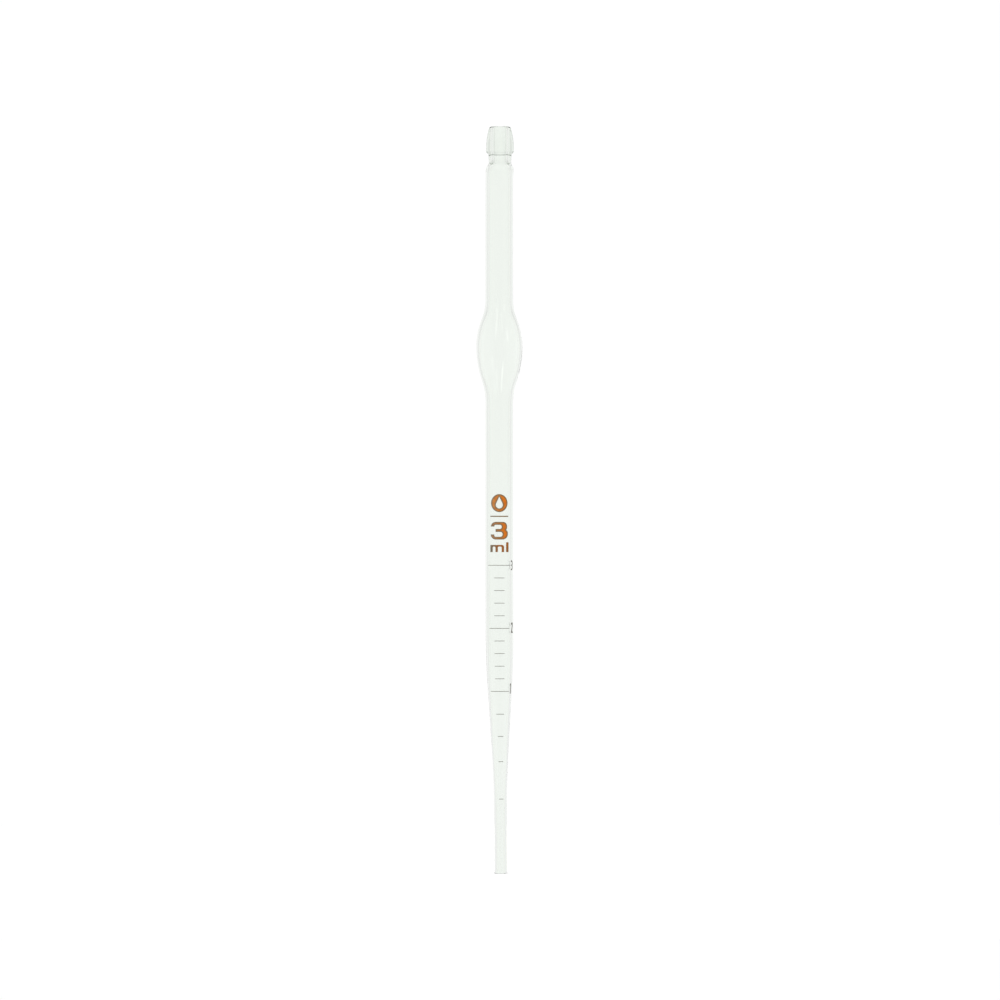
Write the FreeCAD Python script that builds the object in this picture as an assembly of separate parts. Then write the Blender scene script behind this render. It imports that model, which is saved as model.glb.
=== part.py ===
"""A 3 ml graduated dropping pipette with a safety bulb, drawn and blown from one borosilicate tube.

One glass body carries a printed scale. Each mark, numeral and letter is its own thin patch of fired enamel,
lying face to face on the glass. Millimetres, +Z up along the pipette's axis with the mouth on top, the
origin at the centre of the tip's end, and the print facing -Y.
"""

import FreeCAD, Part
import math
import os

Vector = FreeCAD.Vector
CENTRE = Vector(0, 0, 0)
AXIS = Vector(0, 0, 1)

# ---- Driving dimensions, in mm. Names in _R are radii, names in _Z heights above the tip's end. ----

LENGTH = 265.6
TUBE_R = 4.9
ML_PITCH = 22.4
MARK_1_Z = 64.8
# The barrel's bore holds one millilitre between two numbered marks.
TUBE_BORE_R = math.sqrt(1000.0 / (math.pi * ML_PITCH))

TIP_R = 2.25
TIP_BORE_R = 1.58
TIP_RIM_ROUND = 0.3

# Where the cone's sides would meet the straight stretches, outside and in the bore.
TAPER_LOW_Z = 33.0
TAPER_HIGH_Z = 77.0
TAPER_BORE_LOW_Z = 27.0
TAPER_BORE_HIGH_Z = 71.5
TAPER_BLEND = 350.0

BULB_LOW_Z = 168.0
BULB_MID_Z = 187.0
BULB_HIGH_Z = 203.5
BULB_R = 8.2
BULB_WALL = 0.75
# The hollow blend's share of the two radii in each half of the bulb's outline.
BULB_BLEND_SHARE = 0.35

SHOULDER_LOW_Z = 250.4
SHOULDER_HIGH_Z = 253.0
BORE_SHOULDER_LOW_Z = 249.4
BORE_SHOULDER_HIGH_Z = 254.2
NECK_LOW_R = 3.95
NECK_TOP_R = 4.1
MOUTH_BORE_R = 2.3

BEAD_R = 4.95
BEAD_LOW_Z = 256.6
BEAD_LAND = 1.0
BEAD_TOP_R = 3.9
BEAD_EDGE_ROUND = 0.25
BEAD_UNDERCUT = 1.0
UNDERCUT_ROUND = 1.0

PRINT_T = 0.04
PRINT_LOW_Z = 20.0
PRINT_HIGH_Z = 140.0
LINE_W = 0.18
SHORT_LINE_HALF = 22.0
# The azimuths between which each numbered mark is printed.
LONG_MARKS = {
    "1_0": (-50.0, 51.0),
    "2_0": (-46.0, 46.0),
    "3_0": (-53.0, 55.0),
}
# The guide marks in the taper, where the bore narrows: the height and the azimuths of each.
TAPER_MARKS = {
    "0_8": (56.7, -20.5, 23.0),
    "0_6": (48.8, -14.5, 21.5),
    "0_4": (39.8, -13.5, 23.5),
    "0_2": (26.5, -12.0, 29.0),
}

NUMERAL_H = 3.25
NUMERAL_W = 0.85
NUMERAL_STROKE = 0.55
NUMERAL_AZIMUTH = 65.0
# How far each numeral stands above its mark.
NUMERAL_RISE = {1: 1.0, 2: 0.25, 3: 0.0}

EMBLEM_Z = 131.7
EMBLEM_HALF_W = 2.95
EMBLEM_HALF_H = 3.2
DROP_R = 1.25
DROP_LOW = 0.65
DROP_TIP = 2.3

RULE_Z = 127.0
RULE_HALF_W = 3.2
RULE_H = 0.4

DIGIT_Z = 121.9
DIGIT_HALF_W = 3.06
DIGIT_HALF_H = 3.14

UNIT_BASE_Z = 114.3
UNIT_STEM = 0.85
M_LEFT = -3.2
M_RIGHT = 1.72
M_HEIGHT = 2.55
L_LEFT = 2.45
L_HEIGHT = 3.5
GLYPH_CORNER = 0.1


# ---- Curves in the plane of the revolved profile, where X is the radius ----


def point(radius, z):
    return Vector(radius, 0, z)


def line(start, end):
    return Part.LineSegment(start, end).toShape()


def s_curve(start, end, first_share):
    """Two tangent arcs from start up to end, both upright at their outer ends.

    first_share is the first arc's share of the two radii together.
    """
    rise = end.z - start.z
    run = end.x - start.x
    turn = 2 * math.atan2(abs(run), rise)
    both_radii = rise / math.sin(turn)
    side = math.copysign(1, run)

    def first_arc(angle):
        radius = both_radii * first_share
        return start + point(side * radius * (1 - math.cos(angle)), radius * math.sin(angle))

    def last_arc(angle):
        radius = both_radii * (1 - first_share)
        return end - point(side * radius * (1 - math.cos(angle)), radius * math.sin(angle))

    middle = first_arc(turn)
    return [
        Part.Arc(start, first_arc(turn / 2), middle).toShape(),
        Part.Arc(middle, last_arc(turn / 2), end).toShape(),
    ]


def rounded_corner(before, corner, after, radius):
    """The start, the end and the edge of the arc that rounds a corner between two straight sides."""
    back = (before - corner).normalize()
    ahead = (after - corner).normalize()
    half = back.getAngle(ahead) / 2
    reach = radius / math.tan(half)
    start = corner + back * reach
    end = corner + ahead * reach
    inward = (back + ahead).normalize()
    middle = corner + inward * (radius / math.sin(half) - radius)
    return start, end, Part.Arc(start, middle, end).toShape()


def taper(low_r, high_r, low_z, high_z):
    """The start, the end and the edges of the cone between two straight stretches, blended at both ends."""
    low_corner = point(low_r, low_z)
    high_corner = point(high_r, high_z)
    start, cone_start, low_arc = rounded_corner(point(low_r, 0), low_corner, high_corner, TAPER_BLEND)
    cone_end, end, high_arc = rounded_corner(low_corner, high_corner, point(high_r, LENGTH), TAPER_BLEND)
    return start, end, [low_arc, line(cone_start, cone_end), high_arc]


def bulb(tube_r, belly_r):
    """The edges of the bulb's outline: a hollow blend, the belly and a second hollow blend."""
    belly = point(belly_r, BULB_MID_Z)
    lower = s_curve(point(tube_r, BULB_LOW_Z), belly, BULB_BLEND_SHARE)
    upper = s_curve(belly, point(tube_r, BULB_HIGH_Z), 1 - BULB_BLEND_SHARE)
    return lower + upper


def revolved(edges):
    """The solid swept by a closed profile about the axis."""
    profile = Part.Wire(Part.__sortEdges__(edges))
    return Part.Face(profile).revolve(CENTRE, AXIS, 360)


# ---- The glass ----


def lip_round():
    """The lip is a half circle from the bore to the top of the bead's side."""
    return (BEAD_TOP_R - MOUTH_BORE_R) / 2


def outside_edges():
    """The outside of the glass, from the tip's rim up to the top of the bead's land."""
    taper_start, taper_end, taper_edges = taper(TIP_R, TUBE_R, TAPER_LOW_Z, TAPER_HIGH_Z)
    shoulder_low = point(TUBE_R, SHOULDER_LOW_Z)
    shoulder_high = point(NECK_LOW_R, SHOULDER_HIGH_Z)
    undercut = point(NECK_TOP_R, BEAD_LOW_Z - BEAD_UNDERCUT)
    bead_edge = point(BEAD_R, BEAD_LOW_Z)
    land_top = point(BEAD_R, BEAD_LOW_Z + BEAD_LAND)
    neck_end, underside_in, undercut_arc = rounded_corner(shoulder_high, undercut, bead_edge, UNDERCUT_ROUND)
    underside_out, land_low, bead_arc = rounded_corner(undercut, bead_edge, land_top, BEAD_EDGE_ROUND)
    edges = [line(point(TIP_R, TIP_RIM_ROUND), taper_start)]
    edges += taper_edges
    edges.append(line(taper_end, point(TUBE_R, BULB_LOW_Z)))
    edges += bulb(TUBE_R, BULB_R)
    edges.append(line(point(TUBE_R, BULB_HIGH_Z), shoulder_low))
    edges += s_curve(shoulder_low, shoulder_high, 0.5)
    edges += [line(shoulder_high, neck_end), undercut_arc]
    edges += [line(underside_in, underside_out), bead_arc]
    edges.append(line(land_low, land_top))
    return edges


def bore_edges():
    """The inside of the glass, from the tip's rim up to the lip."""
    taper_start, taper_end, taper_edges = taper(
        TIP_BORE_R, TUBE_BORE_R, TAPER_BORE_LOW_Z, TAPER_BORE_HIGH_Z
    )
    shoulder_low = point(TUBE_BORE_R, BORE_SHOULDER_LOW_Z)
    shoulder_high = point(MOUTH_BORE_R, BORE_SHOULDER_HIGH_Z)
    edges = [line(point(TIP_BORE_R, TIP_RIM_ROUND), taper_start)]
    edges += taper_edges
    edges.append(line(taper_end, point(TUBE_BORE_R, BULB_LOW_Z)))
    edges += bulb(TUBE_BORE_R, BULB_R - BULB_WALL)
    edges.append(line(point(TUBE_BORE_R, BULB_HIGH_Z), shoulder_low))
    edges += s_curve(shoulder_low, shoulder_high, 0.5)
    edges.append(line(shoulder_high, point(MOUTH_BORE_R, LENGTH - lip_round())))
    return edges


def lip_edges():
    """The bead's barrel-shaped side, upright where it leaves the land, and the rounded lip."""
    land_top = point(BEAD_R, BEAD_LOW_Z + BEAD_LAND)
    side_top = point(BEAD_TOP_R, LENGTH - lip_round())
    rise = side_top.z - land_top.z
    inset = BEAD_R - BEAD_TOP_R
    radius = (rise**2 + inset**2) / (2 * inset)
    half_turn = math.asin(rise / radius) / 2
    side_middle = land_top + point(radius * (math.cos(half_turn) - 1), radius * math.sin(half_turn))
    lip_top = point(MOUTH_BORE_R + lip_round(), LENGTH)
    return [
        Part.Arc(land_top, side_middle, side_top).toShape(),
        Part.Arc(side_top, lip_top, point(MOUTH_BORE_R, side_top.z)).toShape(),
    ]


def tip_rim_edges():
    """The fire-polished end of the tip: two rounded edges and the narrow ring between them."""
    outer_foot = point(TIP_R - TIP_RIM_ROUND, 0)
    inner_foot = point(TIP_BORE_R + TIP_RIM_ROUND, 0)
    bulge = TIP_RIM_ROUND * (1 - math.sqrt(0.5))
    outer_middle = point(TIP_R - bulge, bulge)
    inner_middle = point(TIP_BORE_R + bulge, bulge)
    return [
        Part.Arc(point(TIP_R, TIP_RIM_ROUND), outer_middle, outer_foot).toShape(),
        line(outer_foot, inner_foot),
        Part.Arc(inner_foot, inner_middle, point(TIP_BORE_R, TIP_RIM_ROUND)).toShape(),
    ]


def glass_body():
    return revolved(outside_edges() + lip_edges() + bore_edges() + tip_rim_edges())


# ---- Patches of enamel ----


def print_skin():
    """A skin of enamel all round the taper and the barrel. Every mark is a patch cut from it."""
    inner_start, inner_end, inner = taper(TIP_R, TUBE_R, TAPER_LOW_Z, TAPER_HIGH_Z)
    outer_start, outer_end, outer = taper(TIP_R + PRINT_T, TUBE_R + PRINT_T, TAPER_LOW_Z, TAPER_HIGH_Z)
    low_in = point(TIP_R, PRINT_LOW_Z)
    low_out = point(TIP_R + PRINT_T, PRINT_LOW_Z)
    high_in = point(TUBE_R, PRINT_HIGH_Z)
    high_out = point(TUBE_R + PRINT_T, PRINT_HIGH_Z)
    edges = inner + outer
    edges += [line(low_in, inner_start), line(inner_end, high_in)]
    edges += [line(low_out, outer_start), line(outer_end, high_out)]
    edges += [line(low_in, low_out), line(high_in, high_out)]
    return revolved(edges)


def patch(skin, tool):
    """The one piece of the skin that lies inside a tool."""
    found = skin.common(tool).Solids
    if len(found) != 1:
        raise ValueError("a patch of enamel came out as %d solids" % len(found))
    return found[0]


def line_patch(skin, z, from_deg, to_deg):
    """A graduation line between two azimuths, which are counted from the front, -Y, towards +X."""
    slab = Part.makeCylinder(2 * TUBE_R, LINE_W, Vector(0, 0, z - LINE_W / 2), AXIS, to_deg - from_deg)
    slab.rotate(CENTRE, AXIS, from_deg - 90)
    return patch(skin, slab)


def glyph_patch(skin, face, z, azimuth=0.0):
    """A flat glyph, drawn as seen from the front, set at a height and azimuth and pressed onto the skin."""
    tool = face.extrude(Vector(0, -2 * TUBE_R, 0))
    tool.translate(Vector(0, 0, z))
    tool.rotate(CENTRE, AXIS, azimuth)
    return patch(skin, tool)


# ---- Flat glyphs, in the XZ plane ----


def rounded_box(x0, x1, z0, z1, low_left=0.0, low_right=0.0, top_right=0.0, top_left=0.0):
    """A flat rectangle, with a radius for each corner."""
    corners = [point(x0, z0), point(x1, z0), point(x1, z1), point(x0, z1)]
    edges = []
    ends = []
    for i, radius in enumerate((low_left, low_right, top_right, top_left)):
        start = end = corners[i]
        if radius:
            start, end, arc = rounded_corner(corners[i - 1], corners[i], corners[(i + 1) % 4], radius)
            edges.append(arc)
        ends.append((start, end))
    for i in range(4):
        edges.append(line(ends[i - 1][1], ends[i][0]))
    return Part.Face(Part.Wire(Part.__sortEdges__(edges)))


def ribbon(edges, width):
    """A flat stroke along an open path, with round ends."""
    round_joins = 0
    fill = True
    return Part.Wire(edges).makeOffset2D(width / 2, round_joins, fill)


def emblem_face():
    """A round badge with a drop left clear in it."""
    badge = Part.Ellipse(CENTRE, EMBLEM_HALF_H, EMBLEM_HALF_W).toShape()
    badge.rotate(CENTRE, Vector(0, 0, 1), 90)
    badge.rotate(CENTRE, Vector(1, 0, 0), 90)
    centre = point(0, -DROP_LOW)
    tip = point(0, DROP_TIP)
    side = math.acos(DROP_R / (tip.z - centre.z))
    right = centre + point(DROP_R * math.sin(side), DROP_R * math.cos(side))
    left = centre + point(-DROP_R * math.sin(side), DROP_R * math.cos(side))
    foot = centre - point(0, DROP_R)
    drop = Part.Wire([line(tip, right), Part.Arc(right, foot, left).toShape(), line(left, tip)])
    return Part.Face(Part.Wire(badge)).cut(Part.Face(drop))


def rule_face():
    return rounded_box(-RULE_HALF_W, RULE_HALF_W, -RULE_H / 2, RULE_H / 2)


def digit_face():
    """A wide, bold 3: two stacked blocks, each with a channel that opens to the left."""
    w = DIGIT_HALF_W
    h = DIGIT_HALF_H
    upper = rounded_box(-w, 0.91 * w, 0.05 * h, h, low_right=0.9, top_right=1.5, top_left=1.8)
    lower = rounded_box(-w, w, -h, 0.15 * h, low_left=1.8, low_right=1.9, top_right=1.3)
    upper_channel = rounded_box(-0.58 * w, 0.28 * w, 0.2 * h, 0.665 * h, 0, 0.65, 0.65, 0.45)
    lower_channel = rounded_box(-0.58 * w, 0.38 * w, -0.69 * h, -0.135 * h, 0.45, 0.8, 0.8, 0)
    left_gap = rounded_box(-2 * w, -0.44 * w, -0.42 * h, 0.47 * h)
    blocks = upper.fuse(lower).removeSplitter()
    return blocks.cut(upper_channel).cut(lower_channel).cut(left_gap)


def letter_m_face():
    """A bold m: two arches that share the middle stem."""
    middle = (M_LEFT + M_RIGHT) / 2 - UNIT_STEM / 4
    stem = (middle - UNIT_STEM / 2, middle + UNIT_STEM / 2)
    bar = 0.7 * UNIT_STEM
    round_shoulder = 0.9 * UNIT_STEM
    inner_round = 0.5 * UNIT_STEM
    below = -M_HEIGHT
    left = rounded_box(M_LEFT, stem[1], 0, M_HEIGHT, top_right=round_shoulder, top_left=GLYPH_CORNER)
    right = rounded_box(stem[0], M_RIGHT, 0, M_HEIGHT, top_right=round_shoulder, top_left=round_shoulder)
    left_gap = rounded_box(
        M_LEFT + UNIT_STEM, stem[0], below, M_HEIGHT - bar, top_right=inner_round, top_left=inner_round
    )
    right_gap = rounded_box(
        stem[1], M_RIGHT - UNIT_STEM, below, M_HEIGHT - bar, top_right=inner_round, top_left=inner_round
    )
    return left.fuse(right).removeSplitter().cut(left_gap).cut(right_gap)


def letter_l_face():
    rounds = [GLYPH_CORNER] * 4
    return rounded_box(L_LEFT, L_LEFT + UNIT_STEM, 0, L_HEIGHT, *rounds)


def numeral_path(number):
    """The centre line of a narrow scale numeral, about its own middle."""
    w = NUMERAL_W / 2
    h = NUMERAL_H / 2
    if number == 1:
        flag = point(-0.6 * w, h - 0.6 * w)
        return [line(flag, point(0, h)), line(point(0, h), point(0, -h))]
    if number == 2:
        bowl = h - w
        shoulder = point(w * math.sqrt(0.5), bowl - w * math.sqrt(0.5))
        crown = Part.Arc(point(-w, bowl), point(0, h), shoulder).toShape()
        return [crown, line(shoulder, point(-w, -h)), line(point(-w, -h), point(w, -h))]
    waist = point(-0.3 * w, 0)
    upper = Part.Arc(point(-w, 0.93 * h), point(w, h / 2), waist).toShape()
    lower = Part.Arc(waist, point(w, -h / 2), point(-w, -0.93 * h)).toShape()
    return [upper, lower]


# ---- The nodes ----


def scale_marks(skin):
    """Every graduation line. From 1 ml up they are evenly spaced, because the bore is straight there."""
    marks = {}
    for tenths in range(10, 31, 2):
        z = MARK_1_Z + (tenths - 10) / 10 * ML_PITCH
        volume = "%d_%d" % divmod(tenths, 10)
        from_deg, to_deg = LONG_MARKS.get(volume, (-SHORT_LINE_HALF, SHORT_LINE_HALF))
        marks["mark_%s_ml" % volume] = line_patch(skin, z, from_deg, to_deg)
    for volume, (z, from_deg, to_deg) in TAPER_MARKS.items():
        marks["mark_%s_ml" % volume] = line_patch(skin, z, from_deg, to_deg)
    return marks


def scale_numerals(skin):
    """The numerals at the right-hand ends of the long marks."""
    found = {}
    for number, rise in NUMERAL_RISE.items():
        z = MARK_1_Z + (number - 1) * ML_PITCH + rise
        face = ribbon(numeral_path(number), NUMERAL_STROKE)
        found["numeral_%d" % number] = glyph_patch(skin, face, z, NUMERAL_AZIMUTH)
    return found


def capacity_print(skin):
    """The badge, the rule under it and the capacity."""
    return {
        "drop_emblem": glyph_patch(skin, emblem_face(), EMBLEM_Z),
        "emblem_rule": glyph_patch(skin, rule_face(), RULE_Z),
        "capacity_digit_3": glyph_patch(skin, digit_face(), DIGIT_Z),
        "unit_letter_m": glyph_patch(skin, letter_m_face(), UNIT_BASE_Z),
        "unit_letter_l": glyph_patch(skin, letter_l_face(), UNIT_BASE_Z),
    }


def main():
    os.makedirs("parts", exist_ok=True)
    skin = print_skin()
    nodes = {"glass_body": glass_body()}
    nodes.update(scale_marks(skin))
    nodes.update(scale_numerals(skin))
    nodes.update(capacity_print(skin))
    for name, shape in nodes.items():
        shape.exportStep("parts/%s.step" % name)
        print(name, shape.ShapeType, shape.isValid(), round(shape.Volume, 4))


main()
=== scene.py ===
"""The looks of a 3 ml graduated dropping pipette: one glass tube with a safety bulb, and its print.

Lengths are in millimetres until a mesh or a light is made, where MM turns them into metres. Z runs up the
pipette's axis from the tip, azimuths are degrees from the front (-Y) towards +X.
"""

import math
from collections import Counter

import bpy
import numpy as np
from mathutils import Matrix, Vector
from mathutils.geometry import delaunay_2d_cdt


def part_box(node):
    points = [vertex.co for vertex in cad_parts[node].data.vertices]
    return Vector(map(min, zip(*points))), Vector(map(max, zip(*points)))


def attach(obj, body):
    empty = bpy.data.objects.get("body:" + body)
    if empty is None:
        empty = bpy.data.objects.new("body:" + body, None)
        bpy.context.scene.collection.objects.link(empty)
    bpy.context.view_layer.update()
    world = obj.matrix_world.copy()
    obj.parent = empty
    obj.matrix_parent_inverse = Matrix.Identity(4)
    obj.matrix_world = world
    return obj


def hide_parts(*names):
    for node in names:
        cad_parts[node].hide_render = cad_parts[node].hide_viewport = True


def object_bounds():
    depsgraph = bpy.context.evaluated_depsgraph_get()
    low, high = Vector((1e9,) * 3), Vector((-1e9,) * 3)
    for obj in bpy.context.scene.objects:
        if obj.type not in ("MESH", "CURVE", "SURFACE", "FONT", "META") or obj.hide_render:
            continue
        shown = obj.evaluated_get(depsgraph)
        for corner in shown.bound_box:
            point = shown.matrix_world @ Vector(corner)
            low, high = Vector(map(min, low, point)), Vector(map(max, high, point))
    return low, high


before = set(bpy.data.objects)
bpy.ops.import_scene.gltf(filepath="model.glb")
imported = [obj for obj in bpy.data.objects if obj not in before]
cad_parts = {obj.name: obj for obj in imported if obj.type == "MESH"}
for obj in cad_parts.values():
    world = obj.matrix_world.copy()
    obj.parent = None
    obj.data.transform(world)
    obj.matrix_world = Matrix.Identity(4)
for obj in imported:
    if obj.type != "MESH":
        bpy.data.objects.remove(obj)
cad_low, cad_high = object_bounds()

MM = 0.001
LENGTH = (cad_high.z - cad_low.z) / MM

# ---- The glass, as the CAD has it. _R are radii, _Z heights above the tip's end. ----

TUBE_R = 4.9
ML_PITCH = 22.4
# One millilitre is 1000 cubic millimetres.
TUBE_BORE_R = math.sqrt(1000.0 / (math.pi * ML_PITCH))
TIP_R = 2.25
TIP_BORE_R = 1.58
TIP_RIM_ROUND = 0.3
TAPER_LOW_Z, TAPER_HIGH_Z = 33.0, 77.0
TAPER_BORE_LOW_Z, TAPER_BORE_HIGH_Z = 27.0, 71.5
TAPER_BLEND = 350.0
BULB_LOW_Z, BULB_MID_Z, BULB_HIGH_Z = 168.0, 187.0, 203.5
BULB_R = 8.2
BULB_WALL = 0.75
BULB_BLEND_SHARE = 0.35
SHOULDER_LOW_Z, SHOULDER_HIGH_Z = 250.4, 253.0
BORE_SHOULDER_LOW_Z, BORE_SHOULDER_HIGH_Z = 249.4, 254.2
NECK_LOW_R, NECK_TOP_R = 3.95, 4.1
MOUTH_BORE_R = 2.3
BEAD_R = 4.95
BEAD_LOW_Z = 256.6
BEAD_LAND = 1.0
BEAD_TOP_R = 3.9
BEAD_EDGE_ROUND = 0.25
BEAD_UNDERCUT = 1.0
UNDERCUT_ROUND = 1.0
LIP_ROUND = (BEAD_TOP_R - MOUTH_BORE_R) / 2

# ---- How fine the meshes are, and how far the glass and the print stray from the drawing ----

RING_STEP = 0.95
ARC_STEP = math.radians(5)
AROUND = 144
BEAD_SIDE_STEPS, LIP_STEPS, TIP_RIM_STEPS = 12, 18, 6

BORE_STRAY = 0.02
BORE_STRAY_LOW_Z, BORE_STRAY_HIGH_Z = 10.0, 245.0
DRIFT_SCALE, SECOND_WAVE, SECOND_PHASE = 0.6, 0.6, 1.3
BULB_STRAY = 0.10
BULB_STRAY_REACH = 9.0
BULB_SCALE, BULB_SECOND_WAVE, BULB_PHASE = 0.5, 0.5, 0.9
# How far each wave turns round the axis, in radians for each millimetre of height.
DRIFT_TWIST, SECOND_TWIST, BULB_TWIST = 0.031, 0.047, 0.11

TIP_OFF = 0.55
TIP_LEAN_FROM_Z = 108.0
TIP_LEAN_POWER = 1.2
HEAD_OFF = 0.25
HEAD_LEAN_FROM_Z = 246.0
HEAD_LEAN_RISE = 8.0

PRINT_SUNK = 0.008
PRINT_THICK = 0.035
GLYPH_GRID = 0.15
LINE_GRID = 0.055
RIM_FULL, RIM_WIDTH = 0.25, 0.7
RIM_LIFT_WIDTH = 0.11
SAME_PLACE = 0.002
MERGE_DISTANCE = 1e-5
# How near the outline a point of the filling may come, as a share of the grid.
EDGE_CLEARANCE = 0.45


# ---- Curves in the plane of the revolved profile, as lists of (radius, height) ----


def steps(turn):
    """How many straight steps draw an arc of this turn."""
    return max(2, math.ceil(abs(turn) / ARC_STEP))


def s_curve(start, end, first_share):
    """Two tangent arcs from start up to end, both upright at their outer ends."""
    run, rise = end[0] - start[0], end[1] - start[1]
    turn = 2 * math.atan2(abs(run), rise)
    both_radii = rise / math.sin(turn)
    side = math.copysign(1, run)
    first, last = both_radii * first_share, both_radii * (1 - first_share)
    found = []
    for i in range(steps(turn) + 1):
        a = turn * i / steps(turn)
        found.append((start[0] + side * first * (1 - math.cos(a)), start[1] + first * math.sin(a)))
    for i in range(1, steps(turn) + 1):
        a = turn * (1 - i / steps(turn))
        found.append((end[0] - side * last * (1 - math.cos(a)), end[1] - last * math.sin(a)))
    return found


def rounded_corner(before, corner, after, radius):
    """The arc that rounds a corner between two straight sides."""
    before, corner, after = (Vector(p) for p in (before, corner, after))
    back, ahead = (before - corner).normalized(), (after - corner).normalized()
    half = back.angle(ahead) / 2
    inward = (back + ahead).normalized()
    centre = corner + inward * (radius / math.sin(half))
    reach = radius / math.tan(half)
    start, end = corner + back * reach - centre, corner + ahead * reach - centre
    turn = start.angle(end)
    across = (end - start * math.cos(turn)) / math.sin(turn)
    count = max(steps(turn), math.ceil(radius * turn / RING_STEP))
    return [tuple(centre + start * math.cos(turn * i / count) + across * math.sin(turn * i / count))
            for i in range(count + 1)]


def taper(low_r, high_r, low_z, high_z):
    """The blends at the lower and the upper end of a taper between two straight tubes."""
    low, high = (low_r, low_z), (high_r, high_z)
    return (rounded_corner((low_r, 0), low, high, TAPER_BLEND)
            + rounded_corner(low, high, (high_r, LENGTH), TAPER_BLEND))


def bulb(tube_r, belly_r):
    """The side of the bulb, from the tube under it to the tube above it."""
    belly = (belly_r, BULB_MID_Z)
    return (s_curve((tube_r, BULB_LOW_Z), belly, BULB_BLEND_SHARE)
            + s_curve(belly, (tube_r, BULB_HIGH_Z), 1 - BULB_BLEND_SHARE)[1:])


def outside():
    """The outside of the glass, from the rim of the tip to the top of the bead's side."""
    neck_low = (NECK_LOW_R, SHOULDER_HIGH_Z)
    neck_top = (NECK_TOP_R, BEAD_LOW_Z - BEAD_UNDERCUT)
    bead_edge = (BEAD_R, BEAD_LOW_Z)
    land_top = (BEAD_R, BEAD_LOW_Z + BEAD_LAND)
    points = [(TIP_R, TIP_RIM_ROUND)]
    points += taper(TIP_R, TUBE_R, TAPER_LOW_Z, TAPER_HIGH_Z)
    points += bulb(TUBE_R, BULB_R)
    points += s_curve((TUBE_R, SHOULDER_LOW_Z), neck_low, 0.5)
    points += rounded_corner(neck_low, neck_top, bead_edge, UNDERCUT_ROUND)
    points += rounded_corner(neck_top, bead_edge, land_top, BEAD_EDGE_ROUND)
    return points + bead_side(land_top)


def bead_side(land_top):
    """The bead's barrel-shaped side: one arc, upright where it leaves the land."""
    rise = LENGTH - LIP_ROUND - land_top[1]
    inset = BEAD_R - BEAD_TOP_R
    radius = (rise**2 + inset**2) / (2 * inset)
    turn = math.asin(rise / radius)
    angles = [turn * i / BEAD_SIDE_STEPS for i in range(BEAD_SIDE_STEPS + 1)]
    return [(BEAD_R - radius * (1 - math.cos(a)), land_top[1] + radius * math.sin(a)) for a in angles]


def bore():
    """The inside of the glass, from the rim of the tip to the lip."""
    points = [(TIP_BORE_R, TIP_RIM_ROUND)]
    points += taper(TIP_BORE_R, TUBE_BORE_R, TAPER_BORE_LOW_Z, TAPER_BORE_HIGH_Z)
    points += bulb(TUBE_BORE_R, BULB_R - BULB_WALL)
    points += s_curve((TUBE_BORE_R, BORE_SHOULDER_LOW_Z), (MOUTH_BORE_R, BORE_SHOULDER_HIGH_Z), 0.5)
    return points + [(MOUTH_BORE_R, LENGTH - LIP_ROUND)]


def half_circle(centre, radius, from_angle):
    """A half circle, without its two ends."""
    angles = [from_angle - math.pi * i / LIP_STEPS for i in range(1, LIP_STEPS)]
    return [(centre[0] + radius * math.cos(a), centre[1] + radius * math.sin(a)) for a in angles]


def tip_rim():
    """The rounded end of the tip, from the bore to the outside."""
    angles = [math.pi / 2 * i / TIP_RIM_STEPS for i in range(1, TIP_RIM_STEPS + 1)]
    rounding = [(TIP_RIM_ROUND * (1 - math.cos(a)), TIP_RIM_ROUND * (1 - math.sin(a))) for a in angles]
    inner = [(TIP_BORE_R + inset, z) for inset, z in rounding]
    outer = [(TIP_R - inset, z) for inset, z in rounding]
    return inner + outer[::-1]


def with_rings(points):
    """The same outline, with its long straight stretches divided."""
    found = [points[0]]
    for a, b in zip(points, points[1:]):
        count = max(1, math.ceil(math.dist(a, b) / RING_STEP))
        found += [tuple(np.array(a) + (np.array(b) - np.array(a)) * i / count) for i in range(1, count + 1)]
    return found


OUTSIDE = with_rings(outside())
BORE = with_rings(bore())


def glass_radius(z):
    """The outside radius of the taper and the barrel at a height."""
    heights = [p[1] for p in OUTSIDE]
    radii = [p[0] for p in OUTSIDE]
    return np.interp(z, heights, radii)


# ---- Meshes ----


def on_axis(radius, azimuth, z):
    """The point at a radius and an azimuth of the tube, whose head and lower part lean a little."""
    towards_tip = max(1 - z / TIP_LEAN_FROM_Z, 0)
    towards_head = min(max((z - HEAD_LEAN_FROM_Z) / HEAD_LEAN_RISE, 0), 1)
    off = TIP_OFF * towards_tip**TIP_LEAN_POWER + HEAD_OFF * towards_head**2 * (3 - 2 * towards_head)
    return off + radius * math.sin(azimuth), -radius * math.cos(azimuth), z


def mesh_object(name, points, faces):
    """An object from points in millimetres."""
    mesh = bpy.data.meshes.new(name)
    mesh.from_pydata([tuple(np.array(p) * MM) for p in points], [], faces)
    mesh.validate()
    mesh.polygons.foreach_set("use_smooth", [True] * len(mesh.polygons))
    made = bpy.data.objects.new(name, mesh)
    bpy.context.scene.collection.objects.link(made)
    return made


def stray(azimuth, z):
    """How far the bore's wall strays from round: a slow drift up the tube, and more of it in the bulb."""
    in_bulb = math.exp(-(((z - BULB_MID_Z) / BULB_STRAY_REACH) ** 2))
    second = math.sin(2 * azimuth - SECOND_TWIST * z + SECOND_PHASE)
    drift = math.sin(azimuth + DRIFT_TWIST * z) + SECOND_WAVE * second
    blown = math.cos(azimuth - BULB_PHASE) + BULB_SECOND_WAVE * math.sin(2 * azimuth + BULB_TWIST * z)
    return DRIFT_SCALE * BORE_STRAY * drift + BULB_STRAY * in_bulb * blown * BULB_SCALE


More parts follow.
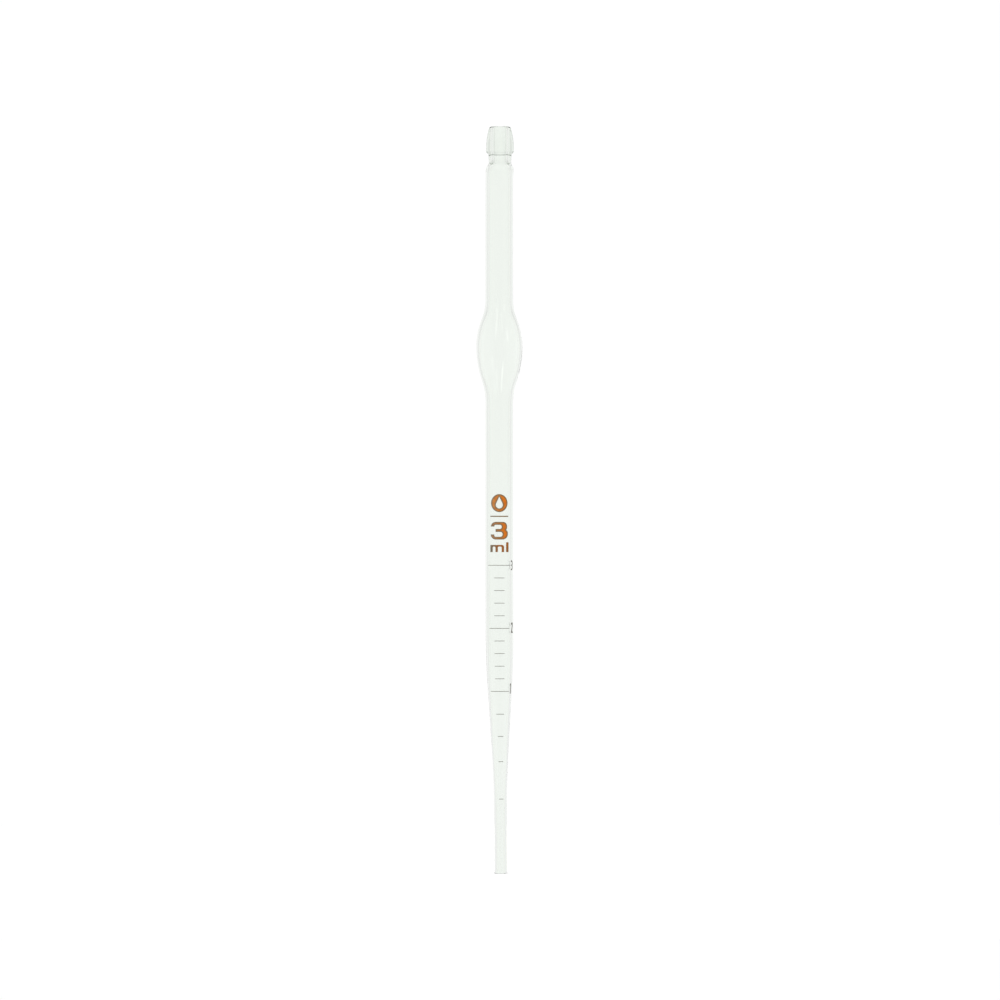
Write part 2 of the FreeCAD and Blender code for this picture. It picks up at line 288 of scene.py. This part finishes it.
def glass_body():
    """The whole tube as one closed skin: up the outside, over the lip, down the bore, round the tip."""
    lip = half_circle((MOUTH_BORE_R + LIP_ROUND, LENGTH - LIP_ROUND), LIP_ROUND, math.pi)[::-1]
    rings = [(p, False) for p in OUTSIDE + lip]
    rings += [(p, True) for p in BORE[::-1]]
    rings += [(p, False) for p in tip_rim()]
    points = []
    for (radius, z), in_bore in rings:
        strays = in_bore and BORE_STRAY_LOW_Z < z < BORE_STRAY_HIGH_Z
        for k in range(AROUND):
            azimuth = 2 * math.pi * k / AROUND
            points.append(on_axis(radius + (stray(azimuth, z) if strays else 0), azimuth, z))
    faces = []
    for i in range(len(rings)):
        j = (i + 1) % len(rings)
        for k in range(AROUND):
            n = (k + 1) % AROUND
            faces.append((i * AROUND + k, i * AROUND + n, j * AROUND + n, j * AROUND + k))
    return mesh_object("blown_glass_body", points, faces)


# ---- Materials ----


def new_material(name):
    """A material, its node tree and its shader."""
    material = bpy.data.materials.new(name)
    material.use_nodes = True
    tree = material.node_tree
    return material, tree, tree.nodes["Principled BSDF"]


def add(tree, kind, inputs=None, **settings):
    """A node with its settings, and its inputs as values or as sockets to link from."""
    node = tree.nodes.new(kind)
    for key, value in settings.items():
        setattr(node, key, value)
    for key, value in (inputs or {}).items():
        if isinstance(value, bpy.types.NodeSocket):
            tree.links.new(value, node.inputs[key])
        else:
            node.inputs[key].default_value = value
    return node


def maths(tree, operation, *values):
    """A sum on one or two numbers, as the socket of its result."""
    return add(tree, "ShaderNodeMath", dict(enumerate(values)), operation=operation).outputs[0]


def vector_maths(tree, operation, inputs):
    """A sum on vectors, as the socket of its result."""
    return add(tree, "ShaderNodeVectorMath", inputs, operation=operation).outputs[0]


def mix(tree, share, a, b):
    """Two colours mixed, as the socket of the result."""
    return add(tree, "ShaderNodeMix", {0: share, "A": a, "B": b}, data_type="RGBA").outputs[2]


def noise(tree, vector, scale, detail):
    """A procedural noise, as the socket of its grey value."""
    return add(tree, "ShaderNodeTexNoise", {"Vector": vector, "Scale": scale, "Detail": detail}).outputs[0]


# GLASS_TINT was lowered by about 0.004 from the tint that the fit behind ROOM picked from a grid.
GLASS_TINT = (0.9675, 0.9865, 0.964, 1)
GLASS_IOR = 1.47
GLASS_COLOUR = (0.4, 0.7, 0.3, 1)
GLASS_DENSITY = 12.0
DRAW_LINE_SCALE = (900, 900, 12)
DRAW_LINE_BUMP = 0.25
DRAW_LINE_ROUGHNESS = 0.012
# The next three are in metres, as a shader reads them.
BUMP_HEIGHT = 4e-6
# The span below runs from where the print's painted sheen is full, on the left, to where it has faded out.
SHEEN_LEFT_X, SHEEN_END_X = -0.0032, 0.0004

CLOUD_SCALE, GRAIN_SCALE = 900.0, 9000.0
CLOUD_LOW, CLOUD_HIGH = 0.3, 0.7
CLOUDING = 0.14
ROUGHNESS_SPREAD = 0.06
GRAIN_BUMP = 0.2
ENAMEL_SPECULAR = 0.25

SCALE_BODY, SCALE_RIM = (0.085, 0.078, 0.062, 1), (0.11, 0.10, 0.08, 1)
# On the amber and brown lines below, the second colour is a painted sheen: greyer enamel that stands in for
# a soft light's reflection on the left of the print.
AMBER_BODY, AMBER_SHEEN_BODY = (0.56, 0.14, 0.004, 1), (0.40, 0.18, 0.05, 1)
AMBER_RIM, AMBER_SHEEN_RIM = (0.19, 0.12, 0.05, 1), (0.18, 0.14, 0.10, 1)
BROWN_BODY, BROWN_SHEEN_BODY = (0.31, 0.10, 0.008, 1), (0.16, 0.125, 0.08, 1)
BROWN_RIM, BROWN_SHEEN_RIM = (0.26, 0.085, 0.01, 1), (0.15, 0.12, 0.08, 1)
SCALE_ROUGHNESS, PRINT_ROUGHNESS = 0.35, 0.3


def clear_glass():
    """Clear glass, taken to be borosilicate, with the faint draw lines of the tube."""
    material, tree, shader = new_material("clear_glass")
    place = add(tree, "ShaderNodeTexCoord")
    drawn = add(tree, "ShaderNodeMapping", {"Vector": place.outputs["Object"], "Scale": DRAW_LINE_SCALE})
    streaks = noise(tree, drawn.outputs[0], 1.0, 3.0)
    bump = add(tree, "ShaderNodeBump", {
        "Height": streaks, "Strength": DRAW_LINE_BUMP, "Distance": BUMP_HEIGHT,
    })
    tree.links.new(maths(tree, "MULTIPLY", streaks, DRAW_LINE_ROUGHNESS), shader.inputs["Roughness"])
    tree.links.new(bump.outputs[0], shader.inputs["Normal"])
    shader.inputs["Base Color"].default_value = GLASS_TINT
    shader.inputs["Transmission Weight"].default_value = 1.0
    shader.inputs["IOR"].default_value = GLASS_IOR
    absorb = add(tree, "ShaderNodeVolumeAbsorption", {"Color": GLASS_COLOUR, "Density": GLASS_DENSITY})
    tree.links.new(absorb.outputs[0], tree.nodes["Material Output"].inputs["Volume"])
    return material


def fired_enamel(name, body, sheen_body, rim, sheen_rim, roughness):
    """Printed enamel: darker along its rim, clouded a little, and with a painted sheen that greys it towards
    the left.
    """
    material, tree, shader = new_material(name)
    place = add(tree, "ShaderNodeTexCoord").outputs["Object"]
    clouds = noise(tree, place, CLOUD_SCALE, 4.0)
    grain = noise(tree, place, GRAIN_SCALE, 2.0)
    axes = add(tree, "ShaderNodeSeparateXYZ", {"Vector": place})
    # Painted sheen: towards the left in object X the colour turns to the greyer sheen colours.
    full = add(
        tree, "ShaderNodeMapRange", {"Value": axes.outputs["X"], "From Min": SHEEN_LEFT_X, "From Max": SHEEN_END_X},
        interpolation_type="SMOOTHSTEP",
    ).outputs[0]
    edge = add(tree, "ShaderNodeAttribute", attribute_name="rim")
    colour = mix(tree, edge.outputs["Fac"], mix(tree, full, sheen_body, body), mix(tree, full, sheen_rim, rim))
    depth = add(tree, "ShaderNodeMapRange", {
        "Value": clouds, "From Min": CLOUD_LOW, "From Max": CLOUD_HIGH,
        "To Min": 1 - CLOUDING, "To Max": 1 + CLOUDING,
    })
    clouded = vector_maths(tree, "SCALE", {0: colour, "Scale": depth.outputs[0]})
    gloss = add(tree, "ShaderNodeMapRange", {
        "Value": grain, "To Min": roughness - ROUGHNESS_SPREAD, "To Max": roughness + ROUGHNESS_SPREAD,
    })
    bump = add(tree, "ShaderNodeBump", {"Height": grain, "Strength": GRAIN_BUMP, "Distance": BUMP_HEIGHT})
    tree.links.new(clouded, shader.inputs["Base Color"])
    tree.links.new(gloss.outputs[0], shader.inputs["Roughness"])
    tree.links.new(bump.outputs[0], shader.inputs["Normal"])
    shader.inputs["Specular IOR Level"].default_value = ENAMEL_SPECULAR
    return material


# ---- The print: each patch keeps its CAD outline, wrapped closely on the glass with a rounded edge ----


def outline_loops(node):
    """The outline of a patch's front, as closed loops of (distance round the glass, height)."""
    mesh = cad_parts[node].data
    middle = glass_radius(sum(p[2] for p in (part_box(node)[0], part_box(node)[1])) / 2 / MM)
    places = np.array([v.co for v in mesh.vertices]) / MM
    corner_of = [int(np.argmax(np.linalg.norm(places - p, axis=1) < SAME_PLACE)) for p in places]
    flat = []
    proud = []
    for x, y, z in places:
        flat.append((math.atan2(x, -y) * middle, z))
        proud.append(math.hypot(x, y) > glass_radius(z) + PRINT_THICK / 2)
    unpaired = Counter()
    for face in mesh.polygons:
        corners = [corner_of[i] for i in face.vertices]
        if all(proud[i] for i in corners):
            for a, b in zip(corners, corners[1:] + corners[:1]):
                if unpaired[(b, a)]:
                    unpaired[(b, a)] -= 1
                elif a != b:
                    unpaired[(a, b)] += 1
    ahead = dict(edge for edge, count in unpaired.items() if count)
    loops = []
    while ahead:
        start, at = ahead.popitem()
        loop = [start]
        while at != start:
            loop.append(at)
            at = ahead.pop(at)
        loops.append([flat[i] for i in loop])
    return loops, middle


def divided(loop, step):
    """The same closed loop, with its sides divided."""
    found = []
    for a, b in zip(loop, loop[1:] + loop[:1]):
        count = max(1, math.ceil(math.dist(a, b) / step))
        found += [tuple(np.array(a) + (np.array(b) - np.array(a)) * i / count) for i in range(count)]
    return found


def inside_and_depth(points, loops):
    """For each point, whether it lies inside the loops, and how far it is from the nearest one."""
    points = np.array(points, float)
    inside = np.zeros(len(points), bool)
    depth = np.full(len(points), 1e9)
    for loop in loops:
        for a, b in zip(np.array(loop), np.array(loop[1:] + loop[:1])):
            side = b - a
            share = np.clip((points - a) @ side / max(side @ side, 1e-12), 0, 1)
            depth = np.minimum(depth, np.linalg.norm(points - a - share[:, None] * side, axis=1))
            crosses = (a[1] > points[:, 1]) != (b[1] > points[:, 1])
            if side[1]:
                inside ^= crosses & (points[:, 0] < a[0] + (points[:, 1] - a[1]) * side[0] / side[1])
    return inside, depth


def fill_outline(loops, grid):
    """Triangles that fill the loops, on a lattice of the grid's pitch."""
    flat = [p for loop in loops for p in loop]
    edges = []
    for loop in loops:
        start = len(edges)
        edges += [(start + i, start + (i + 1) % len(loop)) for i in range(len(loop))]
    low, high = np.min(flat, 0), np.max(flat, 0)
    across = np.arange(low[0] + grid / 2, high[0], grid)
    up = np.arange(low[1] + grid / 2, high[1], grid * math.sqrt(0.75))
    lattice = [(x + (grid / 2 if j % 2 else 0), z) for j, z in enumerate(up) for x in across]
    inside, depth = inside_and_depth(lattice, loops)
    flat += [p for p, i, d in zip(lattice, inside, depth) if i and d > EDGE_CLEARANCE * grid]
    verts, _, faces = delaunay_2d_cdt([Vector(p) for p in flat], edges, [], 1, MERGE_DISTANCE)[:3]
    verts = [tuple(v) for v in verts]
    centres = [tuple(np.mean([verts[i] for i in f], 0)) for f in faces]
    faces = [list(f) for f, i in zip(faces, inside_and_depth(centres, loops)[0]) if i]
    return verts, faces


def enamel_patch(node, material, grid):
    """One patch of print: its front lifted off the glass, its back sunk in it, and a wall round its edge."""
    loops, middle = outline_loops(node)
    loops = [divided(loop, grid) for loop in loops]
    verts, faces = fill_outline(loops, grid)
    depth = inside_and_depth(verts, loops)[1]
    rim = np.clip((RIM_WIDTH - depth) / (RIM_WIDTH - RIM_FULL), 0, 1)
    reach = np.clip(depth / RIM_LIFT_WIDTH, 0, 1)
    lift = PRINT_THICK * np.sqrt(1 - (1 - reach) ** 2)
    points = []
    for heights in (lift, np.full(len(verts), -PRINT_SUNK)):
        for (u, z), height in zip(verts, heights):
            r = float(glass_radius(z)) + height
            points.append(on_axis(r, u / middle, z))
    count = len(verts)
    skin = faces + [[i + count for i in reversed(f)] for f in faces]
    used = {}
    for f in faces:
        for a, b in zip(f, f[1:] + f[:1]):
            used[(a, b)] = True
    skin += [[b, a, a + count, b + count] for a, b in used if (b, a) not in used]
    piece = mesh_object(node + "_enamel", points, skin)
    shade = piece.data.attributes.new("rim", "FLOAT", "POINT")
    shade.data.foreach_set("value", np.concatenate([rim, rim]).astype(np.float32))
    piece.data.materials.append(material)
    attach(piece, "root")
    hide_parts(node)
    return piece


# ---- The pieces ----

glass = glass_body()
glass.data.materials.append(clear_glass())
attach(glass, "root")
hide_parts("glass_body")

scale_enamel = fired_enamel("scale_enamel", SCALE_BODY, SCALE_BODY, SCALE_RIM, SCALE_RIM, SCALE_ROUGHNESS)
amber_enamel = fired_enamel(
    "amber_enamel", AMBER_BODY, AMBER_SHEEN_BODY, AMBER_RIM, AMBER_SHEEN_RIM, PRINT_ROUGHNESS
)
brown_enamel = fired_enamel(
    "brown_enamel", BROWN_BODY, BROWN_SHEEN_BODY, BROWN_RIM, BROWN_SHEEN_RIM, PRINT_ROUGHNESS
)

for node in sorted(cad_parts):
    if node.startswith(("mark_", "numeral_")):
        enamel_patch(node, scale_enamel, LINE_GRID)
for node in ("drop_emblem", "emblem_rule", "capacity_digit_3"):
    enamel_patch(node, amber_enamel, GLYPH_GRID)
for node in ("unit_letter_m", "unit_letter_l"):
    enamel_patch(node, brown_enamel, GLYPH_GRID)

# ---- The floor, the room and the lights ----

FLOOR_R = 600.0
FLOOR_GAP = 0.05
FLOOR_SIDES = 96
FLOOR_MOTTLE = 14.0
FLOOR_DARK, FLOOR_PALE = (0.88, 0.88, 0.88, 1), (0.92, 0.92, 0.92, 1)
FLOOR_ROUGHNESS = 0.7


def floor():
    """A round pale floor, which the glass neither mirrors nor shows through itself."""
    points = [(0, 0, -FLOOR_GAP)]
    for k in range(FLOOR_SIDES):
        a = 2 * math.pi * k / FLOOR_SIDES
        points.append((FLOOR_R * math.cos(a), FLOOR_R * math.sin(a), -FLOOR_GAP))
    faces = [(0, 1 + k, 1 + (k + 1) % FLOOR_SIDES) for k in range(FLOOR_SIDES)]
    made = mesh_object("floor", points, faces)
    material, tree, shader = new_material("pale_floor")
    place = add(tree, "ShaderNodeTexCoord")
    mottle = noise(tree, place.outputs["Object"], FLOOR_MOTTLE, 4.0)
    tree.links.new(mix(tree, mottle, FLOOR_DARK, FLOOR_PALE), shader.inputs["Base Color"])
    shader.inputs["Roughness"].default_value = FLOOR_ROUGHNESS
    made.data.materials.append(material)
    made.visible_glossy = False
    made.visible_transmission = False


BACK_LIGHT = 1.01
# How bright the room is beside that, by degrees from straight behind the object round to the camera.
# These values were not chosen by hand. Another program fitted ten by least squares, to brightness measured
# across the tube, and eight of them stand here, changed by less than 0.02.
ROOM = ((0, 1.0), (10, 0.97), (22, 0.93), (40, 0.78), (60, 1.0), (90, 0.71), (130, 0.55), (180, 0.44))
# The room dims to CEILING between these heights, as sines of the elevation.
CEILING_LOW, CEILING_HIGH = 0.1, 0.8
CEILING = 0.85
# Softboxes beside the camera: azimuth, elevation, half of the width and half of the height, in degrees.
SOFTBOXES = ((-22, 34, 4, 16), (44, 20, 5, 9), (-20, -35, 4, 10), (18, -34, 4, 12))
SOFTBOX_LIGHT = 0.9
# A softbox fades out between 1 - SOFTBOX_FADE and 1 + SOFTBOX_FADE of its half size.
SOFTBOX_FADE = 0.3


def wall_shades(tree, behind):
    """The brightness of the walls, from how far a direction points behind the object (0 to 1)."""
    walls = add(tree, "ShaderNodeValToRGB", {"Fac": behind})
    stops = walls.color_ramp.elements
    stops[0].position, stops[1].position = 0.0, 1.0
    for _ in ROOM[2:]:
        stops.new(0.5)
    for stop, (angle, shade) in zip(stops, reversed(ROOM)):
        stop.position = (1 + math.cos(math.radians(angle))) / 2
        stop.color = (shade, shade, shade, 1)
    return walls.outputs[0]


def softbox(tree, azimuth, elevation, box):
    """How much of one softbox is seen in a direction, fading out round its edges."""
    middle_az, middle_el, half_az, half_el = (math.radians(angle) for angle in box)
    shares = []
    for angle, middle, half in ((azimuth, middle_az, half_az), (elevation, middle_el, half_el)):
        off = maths(tree, "ABSOLUTE", maths(tree, "SUBTRACT", angle, middle))
        shares.append(add(
            tree, "ShaderNodeMapRange",
            {"Value": off, "From Min": (1 + SOFTBOX_FADE) * half, "From Max": (1 - SOFTBOX_FADE) * half},
            interpolation_type="SMOOTHSTEP",
        ).outputs[0])
    return maths(tree, "MULTIPLY", *shares)


def room():
    """A bright field behind the object, and dimmer walls towards the camera, for the glass to mirror."""
    world = bpy.data.worlds.new("studio")
    bpy.context.scene.world = world
    world.use_nodes = True
    tree = world.node_tree
    place = add(tree, "ShaderNodeTexCoord").outputs["Generated"]
    way = vector_maths(tree, "NORMALIZE", {0: vector_maths(tree, "MULTIPLY", {0: place, 1: (1, 1, 0)})})
    level = add(tree, "ShaderNodeSeparateXYZ", {"Vector": way})
    behind = add(
        tree, "ShaderNodeMapRange", {"Value": level.outputs["Y"], "From Min": -1.0, "From Max": 1.0}
    )
    axes = add(tree, "ShaderNodeSeparateXYZ", {"Vector": place})
    ceiling = add(tree, "ShaderNodeMapRange", {
        "Value": axes.outputs["Z"], "From Min": CEILING_LOW, "From Max": CEILING_HIGH,
        "To Min": 1.0, "To Max": CEILING,
    })
    walls = wall_shades(tree, behind.outputs[0])
    mirrored = vector_maths(tree, "SCALE", {0: walls, "Scale": ceiling.outputs[0]})
    towards_camera = maths(tree, "MULTIPLY", axes.outputs["Y"], -1.0)
    azimuth = maths(tree, "ARCTAN2", axes.outputs["X"], towards_camera)
    elevation = maths(tree, "ARCSINE", axes.outputs["Z"])
    for box in SOFTBOXES:
        light = maths(tree, "MULTIPLY", softbox(tree, azimuth, elevation, box), SOFTBOX_LIGHT)
        mirrored = vector_maths(tree, "ADD", {0: mirrored, 1: light})
    path = add(tree, "ShaderNodeLightPath")
    seen = mix(tree, path.outputs["Is Camera Ray"], mirrored, (1, 1, 1, 1))
    background = tree.nodes["Background"]
    tree.links.new(seen, background.inputs["Color"])
    background.inputs["Strength"].default_value = BACK_LIGHT


SUN_SPREAD = 60
SUN_DISTANCE = 2.0


def soft_sun(name, azimuth, elevation, strength):
    """Broad light on the floor and the print, which the glass doesn't mirror."""
    light = bpy.data.lights.new(name, "SUN")
    light.energy = strength
    light.angle = math.radians(SUN_SPREAD)
    made = bpy.data.objects.new(name, light)
    bpy.context.scene.collection.objects.link(made)
    a, e = math.radians(azimuth), math.radians(elevation)
    way = Vector((math.sin(a) * math.cos(e), -math.cos(a) * math.cos(e), math.sin(e)))
    made.location = Vector((0, 0, LENGTH * MM / 2)) + way * SUN_DISTANCE
    made.rotation_euler = way.to_track_quat("Z", "Y").to_euler()
    made.visible_glossy = False
    made.visible_transmission = False


CAMERA_LENS = 400.0
FRAME_HEIGHT = 355.6
FRAME_CENTRE_Z = 132.8
CAMERA_X = 0.25


def camera():
    """Level with the middle of the pipette, through a very long lens."""
    data = bpy.data.cameras.new("camera")
    data.lens = CAMERA_LENS
    distance = FRAME_HEIGHT * CAMERA_LENS / data.sensor_width
    made = bpy.data.objects.new("camera", data)
    bpy.context.scene.collection.objects.link(made)
    made.location = (CAMERA_X * MM, -distance * MM, FRAME_CENTRE_Z * MM)
    made.rotation_euler = (math.pi / 2, 0, 0)
    bpy.context.scene.camera = made


floor()
room()
soft_sun("overhead_light", 0, 88, 1.3)
soft_sun("front_fill", -20, 35, 1.6)
camera()
bpy.context.scene.view_settings.view_transform = "Standard"
cycles = bpy.context.scene.cycles
cycles.max_bounces = 32
cycles.glossy_bounces = 16
cycles.transmission_bounces = 24
